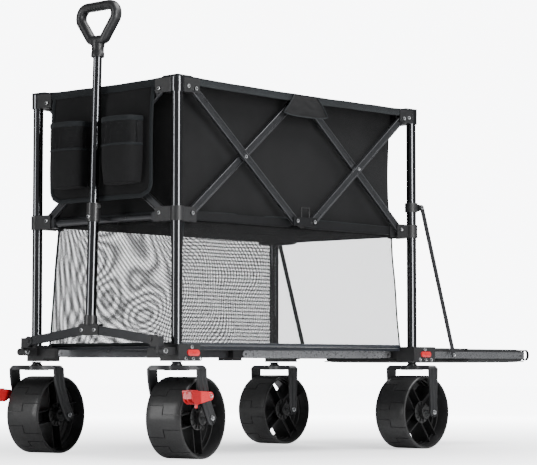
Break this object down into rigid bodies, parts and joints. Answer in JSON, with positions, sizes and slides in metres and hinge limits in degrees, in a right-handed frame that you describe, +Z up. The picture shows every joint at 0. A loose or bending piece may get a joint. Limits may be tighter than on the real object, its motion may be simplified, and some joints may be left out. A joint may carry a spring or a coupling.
{
  "type": "beach cart",
  "caption": "Double-deck folding beach cart with an open upper bag, lower deck, wide wheels, pull handle and drop-down tailgate.",
  "frame": {"origin": "On the ground under the middle of the cart's length and width.", "axes": "+X from the pull handle at the front to the tailgate at the rear, +Y to the cart's right, +Z up."},
  "size_m": [1.484, 0.6835, 1.0901],
  "materials": {
    "post_metal": "gunmetal-black gloss coat",
    "tube_metal": "satin grey coat",
    "bar_metal": "satin dark grey coat",
    "fork_metal": "dark grey coat",
    "bright_steel": "zinc-plated",
    "black_plastic": "textured moulding",
    "wheel_plastic": "matt moulding",
    "red_plastic": "satin coral red",
    "navy_fabric": "woven navy polyester"
  },
  "bodies": {
    "front_left_corner": {"front_left_post": "post_metal", "upper_bag": "navy_fabric"},
    "front_left_base_arm": {"front_left_base_arm": "bar_metal"},
    "base_hub": {"base_hub": "black_plastic", "lower_deck": "navy_fabric"},
    "front_left_mid_bracket": {"front_left_mid_bracket": "black_plastic"},
    "front_left_upper_bar": {"front_left_upper_bar": "bar_metal"},
    "front_left_lower_bar": {"front_left_lower_bar": "bar_metal"},
    "front_left_end_bar": {"front_left_end_bar": "bar_metal"},
    "front_left_rail": {"front_left_rail": "bar_metal"},
    "front_right_base_arm": {"front_right_base_arm": "bar_metal"},
    "front_right_corner": {"front_right_post": "post_metal"},
    "front_right_mid_bracket": {"front_right_mid_bracket": "black_plastic"},
    "front_right_upper_bar": {"front_right_upper_bar": "bar_metal"},
    "front_right_lower_bar": {"front_right_lower_bar": "bar_metal"},
    "front_right_end_bar": {"front_right_end_bar": "bar_metal"},
    "front_right_rail": {"front_right_rail": "bar_metal"},
    "rear_left_base_arm": {"rear_left_base_arm": "bar_metal"},
    "rear_left_corner": {"rear_left_post": "post_metal", "rear_left_fork": "fork_metal"},
    "rear_left_mid_bracket": {"rear_left_mid_bracket": "black_plastic"},
    "rear_left_upper_bar": {"rear_left_upper_bar": "bar_metal"},
    "rear_left_lower_bar": {"rear_left_lower_bar": "bar_metal"},
    "rear_left_end_bar": {"rear_left_end_bar": "bar_metal"},
    "rear_left_rail": {"rear_left_rail": "bar_metal"},
    "rear_right_base_arm": {"rear_right_base_arm": "bar_metal"},
    "rear_right_corner": {"rear_right_post": "post_metal", "rear_right_fork": "fork_metal"},
    "rear_right_mid_bracket": {"rear_right_mid_bracket": "black_plastic"},
    "rear_right_upper_bar": {"rear_right_upper_bar": "bar_metal"},
    "rear_right_lower_bar": {"rear_right_lower_bar": "bar_metal"},
    "rear_right_end_bar": {"rear_right_end_bar": "bar_metal"},
    "rear_right_rail": {"rear_right_rail": "bar_metal"},
    "left_centre_joint": {"left_centre_joint": "bar_metal"},
    "right_centre_joint": {"right_centre_joint": "bar_metal"},
    "yoke_left_end": {"yoke_left_end": "black_plastic"},
    "yoke_left_bar": {"yoke_left_bar": "bar_metal"},
    "yoke_right_end": {"yoke_right_end": "black_plastic"},
    "yoke_right_bar": {"yoke_right_bar": "bar_metal"},
    "handle_lower": {"handle_lower_tube": "bar_metal"},
    "handle_upper": {"handle_upper_tube": "tube_metal", "handle_grip": "black_plastic"},
    "handle_lock_button": {"handle_lock_button": "bright_steel"},
    "front_left_lock_button": {"front_left_lock_button": "red_plastic"},
    "rear_left_lock_button": {"rear_left_lock_button": "red_plastic"},
    "front_left_caster": {"front_left_fork": "fork_metal"},
    "front_left_wheel": {"front_left_wheel": "wheel_plastic"},
    "front_left_brake_pedal": {"front_left_brake_pedal": "red_plastic"},
    "rear_left_wheel": {"rear_left_wheel": "wheel_plastic"},
    "front_right_caster": {"front_right_fork": "fork_metal"},
    "front_right_wheel": {"front_right_wheel": "wheel_plastic"},
    "front_right_brake_pedal": {"front_right_brake_pedal": "red_plastic"},
    "rear_right_wheel": {"rear_right_wheel": "wheel_plastic"},
    "tailgate": {"tailgate_left_rail": "bar_metal", "tailgate_panel": "navy_fabric"},
    "tailgate_right_rail": {"tailgate_right_rail": "bar_metal"},
    "tailgate_left_strut": {"tailgate_left_strut": "bar_metal"},
    "left_strut_collar": {"left_strut_collar": "black_plastic"},
    "tailgate_right_strut": {"tailgate_right_strut": "bar_metal"},
    "right_strut_collar": {"right_strut_collar": "black_plastic"}
  },
  "joints": [
    {"name": "fold", "type": "hinge", "parent": "front_left_corner", "child": "front_left_base_arm", "pos_m": [-0.65028, -0.1645, 0.245], "axis": [0.3577, -0.9338, 0], "range_deg": [0, 70.61], "deforming": ["upper_bag", "lower_deck", "tailgate_panel"]},
    {"name": "hub_lift", "type": "hinge", "parent": "front_left_base_arm", "child": "base_hub", "pos_m": [-0.25978, -0.0149, 0.245], "axis": [0.3577, -0.9338, 0], "range_deg": [-70.66, 0]},
    {"name": "front_left_bracket_slide", "type": "slide", "parent": "front_left_corner", "child": "front_left_mid_bracket", "axis": [0, 0, -1], "range_m": [0, 0.15923]},
    {"name": "front_left_upper_bar_swing", "type": "hinge", "parent": "front_left_corner", "child": "front_left_upper_bar", "pos_m": [-0.61028, -0.2498, 0.862], "axis": [0, 1, 0], "range_deg": [0, 38.83]},
    {"name": "front_left_lower_bar_swing", "type": "hinge", "parent": "front_left_mid_bracket", "child": "front_left_lower_bar", "pos_m": [-0.61028, -0.2392, 0.571], "axis": [0, -1, 0], "range_deg": [0, 38.83]},
    {"name": "front_left_end_bar_swing", "type": "hinge", "parent": "front_left_corner", "child": "front_left_end_bar", "pos_m": [-0.66258, -0.1975, 0.862], "axis": [-1, 0, 0], "range_deg": [0, 30.23]},
    {"name": "front_left_rail_swing", "type": "hinge", "parent": "front_left_mid_bracket", "child": "front_left_rail", "pos_m": [-0.59128, -0.2235, 0.567], "axis": [0, -1, 0], "range_deg": [0, 72.94]},
    {"name": "front_right_arm_swing", "type": "hinge", "parent": "base_hub", "child": "front_right_base_arm", "pos_m": [-0.25978, 0.0149, 0.245], "axis": [-0.3577, -0.9338, 0], "range_deg": [0, 70.66]},
    {"name": "front_right_corner_level", "type": "hinge", "parent": "front_right_base_arm", "child": "front_right_corner", "pos_m": [-0.65028, 0.1645, 0.245], "axis": [-0.3577, -0.9338, 0], "range_deg": [-70.66, 0]},
    {"name": "front_right_bracket_slide", "type": "slide", "parent": "front_right_corner", "child": "front_right_mid_bracket", "axis": [0, 0, -1], "range_m": [0, 0.15923]},
    {"name": "front_right_upper_bar_swing", "type": "hinge", "parent": "front_right_corner", "child": "front_right_upper_bar", "pos_m": [-0.61028, 0.2498, 0.862], "axis": [0, 1, 0], "range_deg": [0, 38.83]},
    {"name": "front_right_lower_bar_swing", "type": "hinge", "parent": "front_right_mid_bracket", "child": "front_right_lower_bar", "pos_m": [-0.61028, 0.2392, 0.571], "axis": [0, -1, 0], "range_deg": [0, 38.83]},
    {"name": "front_right_end_bar_swing", "type": "hinge", "parent": "front_right_corner", "child": "front_right_end_bar", "pos_m": [-0.65198, 0.1975, 0.862], "axis": [1, 0, 0], "range_deg": [0, 30.23]},
    {"name": "front_right_rail_swing", "type": "hinge", "parent": "front_right_mid_bracket", "child": "front_right_rail", "pos_m": [-0.59128, 0.2235, 0.567], "axis": [0, -1, 0], "range_deg": [0, 72.94]},
    {"name": "rear_left_arm_swing", "type": "hinge", "parent": "base_hub", "child": "rear_left_base_arm", "pos_m": [-0.18378, -0.0149, 0.245], "axis": [0.3577, 0.9338, 0], "range_deg": [0, 70.66]},
    {"name": "rear_left_corner_level", "type": "hinge", "parent": "rear_left_base_arm", "child": "rear_left_corner", "pos_m": [0.20672, -0.1645, 0.245], "axis": [0.3577, 0.9338, 0], "range_deg": [-70.66, 0]},
    {"name": "rear_left_bracket_slide", "type": "slide", "parent": "rear_left_corner", "child": "rear_left_mid_bracket", "axis": [0, 0, -1], "range_m": [0, 0.15923]},
    {"name": "rear_left_upper_bar_swing", "type": "hinge", "parent": "rear_left_corner", "child": "rear_left_upper_bar", "pos_m": [0.16672, -0.2498, 0.862], "axis": [0, -1, 0], "range_deg": [0, 38.83]},
    {"name": "rear_left_lower_bar_swing", "type": "hinge", "parent": "rear_left_mid_bracket", "child": "rear_left_lower_bar", "pos_m": [0.16672, -0.2392, 0.571], "axis": [0, 1, 0], "range_deg": [0, 38.83]},
    {"name": "rear_left_end_bar_swing", "type": "hinge", "parent": "rear_left_corner", "child": "rear_left_end_bar", "pos_m": [0.21902, -0.1975, 0.862], "axis": [-1, 0, 0], "range_deg": [0, 30.23]},
    {"name": "rear_left_rail_swing", "type": "hinge", "parent": "rear_left_mid_bracket", "child": "rear_left_rail", "pos_m": [0.14772, -0.2235, 0.567], "axis": [0, 1, 0], "range_deg": [0, 72.94]},
    {"name": "rear_right_arm_swing", "type": "hinge", "parent": "base_hub", "child": "rear_right_base_arm", "pos_m": [-0.18378, 0.0149, 0.245], "axis": [-0.3577, 0.9338, 0], "range_deg": [0, 70.66]},
    {"name": "rear_right_corner_level", "type": "hinge", "parent": "rear_right_base_arm", "child": "rear_right_corner", "pos_m": [0.20672, 0.1645, 0.245], "axis": [-0.3577, 0.9338, 0], "range_deg": [-70.66, 0]},
    {"name": "rear_right_bracket_slide", "type": "slide", "parent": "rear_right_corner", "child": "rear_right_mid_bracket", "axis": [0, 0, -1], "range_m": [0, 0.15923]},
    {"name": "rear_right_upper_bar_swing", "type": "hinge", "parent": "rear_right_corner", "child": "rear_right_upper_bar", "pos_m": [0.16672, 0.2498, 0.862], "axis": [0, -1, 0], "range_deg": [0, 38.83]},
    {"name": "rear_right_lower_bar_swing", "type": "hinge", "parent": "rear_right_mid_bracket", "child": "rear_right_lower_bar", "pos_m": [0.16672, 0.2392, 0.571], "axis": [0, 1, 0], "range_deg": [0, 38.83]},
    {"name": "rear_right_end_bar_swing", "type": "hinge", "parent": "rear_right_corner", "child": "rear_right_end_bar", "pos_m": [0.20842, 0.1975, 0.862], "axis": [1, 0, 0], "range_deg": [0, 30.23]},
    {"name": "rear_right_rail_swing", "type": "hinge", "parent": "rear_right_mid_bracket", "child": "rear_right_rail", "pos_m": [0.14772, 0.2235, 0.567], "axis": [0, 1, 0], "range_deg": [0, 72.94]},
    {"name": "left_centre_joint_level", "type": "hinge", "parent": "front_left_upper_bar", "child": "left_centre_joint", "pos_m": [-0.25378, -0.2498, 0.571], "axis": [0, 1, 0], "range_deg": [-38.83, 0]},
    {"name": "right_centre_joint_level", "type": "hinge", "parent": "front_right_upper_bar", "child": "right_centre_joint", "pos_m": [-0.25378, 0.2498, 0.571], "axis": [0, 1, 0], "range_deg": [-38.83, 0]},
    {"name": "handle_pitch", "type": "hinge", "parent": "front_left_corner", "child": "yoke_left_end", "pos_m": [-0.70378, -0.2405, 0.249], "axis": [0, -1, 0], "range_deg": [0, 85]},
    {"name": "yoke_right_pitch", "type": "hinge", "parent": "front_right_corner", "child": "yoke_right_end", "pos_m": [-0.70378, 0.2405, 0.249], "axis": [0, -1, 0], "range_deg": [0, 85.05]},
    {"name": "yoke_left_bar_swing", "type": "hinge", "parent": "yoke_left_end", "child": "yoke_left_bar", "pos_m": [-0.70305, -0.2145, 0.27499], "axis": [0.9996, 0, -0.0279], "range_deg": [0, 54.16]},
    {"name": "handle_level", "type": "hinge", "parent": "yoke_left_bar", "child": "handle_lower", "pos_m": [-0.70236, -0.022, 0.29998], "axis": [0.9996, 0, -0.0279], "range_deg": [-54.16, 0]},
    {"name": "yoke_right_bar_swing", "type": "hinge", "parent": "handle_lower", "child": "yoke_right_bar", "pos_m": [-0.70236, 0.022, 0.29998], "axis": [0.9996, 0, -0.0279], "range_deg": [-54.16, 0]},
    {"name": "handle_telescope", "type": "slide", "parent": "handle_lower", "child": "handle_upper", "axis": [0.0279, 0, 0.9996], "range_m": [-0.18, 0]},
    {"name": "handle_button_press", "type": "slide", "parent": "handle_lower", "child": "handle_lock_button", "axis": [0, 1, 0], "range_m": [0, 0.003], "stiffness_N_per_m": 400},
    {"name": "front_lock_button_press", "type": "slide", "parent": "front_left_corner", "child": "front_left_lock_button", "axis": [0, 1, 0], "range_m": [0, 0.003], "stiffness_N_per_m": 400},
    {"name": "rear_lock_button_press", "type": "slide", "parent": "rear_left_corner", "child": "rear_left_lock_button", "axis": [0, 1, 0], "range_m": [0, 0.003], "stiffness_N_per_m": 400},
    {"name": "front_left_caster_swivel", "type": "hinge", "parent": "front_left_corner", "child": "front_left_caster", "pos_m": [-0.65728, -0.2445, 0.226], "axis": [0, 0, 1], "continuous": true},
    {"name": "front_left_wheel_spin", "type": "hinge", "parent": "front_left_caster", "child": "front_left_wheel", "pos_m": [-0.61887, -0.23773, 0.095], "axis": [-0.1736, 0.9848, 0], "continuous": true},
    {"name": "rear_left_wheel_spin", "type": "hinge", "parent": "rear_left_corner", "child": "rear_left_wheel", "pos_m": [0.21372, -0.2445, 0.095], "axis": [0, 1, 0], "continuous": true},
    {"name": "front_left_brake_press", "type": "hinge", "parent": "front_left_caster", "child": "front_left_brake_pedal", "pos_m": [-0.63464, -0.32682, 0.146], "axis": [0.1736, -0.9848, 0], "range_deg": [0, 14]},
    {"name": "front_right_caster_swivel", "type": "hinge", "parent": "front_right_corner", "child": "front_right_caster", "pos_m": [-0.65728, 0.2445, 0.226], "axis": [0, 0, 1], "continuous": true},
    {"name": "front_right_wheel_spin", "type": "hinge", "parent": "front_right_caster", "child": "front_right_wheel", "pos_m": [-0.61887, 0.25127, 0.095], "axis": [-0.1736, 0.9848, 0], "continuous": true},
    {"name": "rear_right_wheel_spin", "type": "hinge", "parent": "rear_right_corner", "child": "rear_right_wheel", "pos_m": [0.21372, 0.2445, 0.095], "axis": [0, 1, 0], "continuous": true},
    {"name": "front_right_brake_press", "type": "hinge", "parent": "front_right_caster", "child": "front_right_brake_pedal", "pos_m": [-0.66416, 0.3296, 0.146], "axis": [0.1736, -0.9848, 0], "range_deg": [0, 14]},
    {"name": "tailgate", "type": "hinge", "parent": "rear_left_corner", "child": "tailgate", "pos_m": [0.27372, -0.2445, 0.244], "axis": [0, -1, 0], "range_deg": [0, 90]},
    {"name": "tailgate_right_follow", "type": "hinge", "parent": "rear_right_corner", "child": "tailgate_right_rail", "pos_m": [0.27372, 0.2445, 0.244], "axis": [0, -1, 0], "range_deg": [0, 90.05]},
    {"name": "tailgate_left_strut_swing", "type": "hinge", "parent": "tailgate", "child": "tailgate_left_strut", "pos_m": [0.36772, -0.2645, 0.244], "axis": [0, 1, 0], "range_deg": [0, 103.54]},
    {"name": "left_strut_collar_slide", "type": "slide", "parent": "rear_left_corner", "child": "left_strut_collar", "axis": [0, 0, 1], "range_m": [0, 0.11468]},
    {"name": "tailgate_right_strut_swing", "type": "hinge", "parent": "tailgate_right_rail", "child": "tailgate_right_strut", "pos_m": [0.36772, 0.2645, 0.244], "axis": [0, 1, 0], "range_deg": [0, 103.54]},
    {"name": "right_strut_collar_slide", "type": "slide", "parent": "rear_right_corner", "child": "right_strut_collar", "axis": [0, 0, 1], "range_m": [0, 0.11468]}
  ],
  "couplings": [
    {"joint": "hub_lift", "follows": "fold", "ratio": -1},
    {"joint": "front_left_bracket_slide", "follows": "fold", "m_per_rad": 0.12913},
    {"joint": "front_left_upper_bar_swing", "follows": "fold", "ratio": 0.5492},
    {"joint": "front_left_lower_bar_swing", "follows": "fold", "ratio": 0.5492},
    {"joint": "front_left_end_bar_swing", "follows": "fold", "ratio": 0.42746},
    {"joint": "front_left_rail_swing", "follows": "fold", "ratio": 1.0324},
    {"joint": "front_right_arm_swing", "follows": "fold", "ratio": 1},
    {"joint": "front_right_corner_level", "follows": "fold", "ratio": -1},
    {"joint": "front_right_bracket_slide", "follows": "fold", "m_per_rad": 0.12913},
    {"joint": "front_right_upper_bar_swing", "follows": "fold", "ratio": 0.5492},
    {"joint": "front_right_lower_bar_swing", "follows": "fold", "ratio": 0.5492},
    {"joint": "front_right_end_bar_swing", "follows": "fold", "ratio": 0.42746},
    {"joint": "front_right_rail_swing", "follows": "fold", "ratio": 1.0324},
    {"joint": "rear_left_arm_swing", "follows": "fold", "ratio": 1},
    {"joint": "rear_left_corner_level", "follows": "fold", "ratio": -1},
    {"joint": "rear_left_bracket_slide", "follows": "fold", "m_per_rad": 0.12913},
    {"joint": "rear_left_upper_bar_swing", "follows": "fold", "ratio": 0.5492},
    {"joint": "rear_left_lower_bar_swing", "follows": "fold", "ratio": 0.5492},
    {"joint": "rear_left_end_bar_swing", "follows": "fold", "ratio": 0.42746},
    {"joint": "rear_left_rail_swing", "follows": "fold", "ratio": 1.0324},
    {"joint": "rear_right_arm_swing", "follows": "fold", "ratio": 1},
    {"joint": "rear_right_corner_level", "follows": "fold", "ratio": -1},
    {"joint": "rear_right_bracket_slide", "follows": "fold", "m_per_rad": 0.12913},
    {"joint": "rear_right_upper_bar_swing", "follows": "fold", "ratio": 0.5492},
    {"joint": "rear_right_lower_bar_swing", "follows": "fold", "ratio": 0.5492},
    {"joint": "rear_right_end_bar_swing", "follows": "fold", "ratio": 0.42746},
    {"joint": "rear_right_rail_swing", "follows": "fold", "ratio": 1.0324},
    {"joint": "left_centre_joint_level", "follows": "fold", "ratio": -0.5492},
    {"joint": "right_centre_joint_level", "follows": "fold", "ratio": -0.5492},
    {"joint": "yoke_right_pitch", "follows": "handle_pitch", "ratio": 1},
    {"joint": "yoke_left_bar_swing", "follows": "fold", "ratio": 0.76645},
    {"joint": "handle_level", "follows": "fold", "ratio": -0.76645},
    {"joint": "yoke_right_bar_swing", "follows": "fold", "ratio": -0.76645},
    {"joint": "tailgate_right_follow", "follows": "tailgate", "ratio": 1},
    {"joint": "tailgate_left_strut_swing", "follows": "tailgate", "ratio": 1.1499},
    {"joint": "left_strut_collar_slide", "follows": "tailgate", "m_per_rad": 0.072947},
    {"joint": "tailgate_right_strut_swing", "follows": "tailgate", "ratio": 1.1499},
    {"joint": "right_strut_collar_slide", "follows": "tailgate", "m_per_rad": 0.072947}
  ]
}
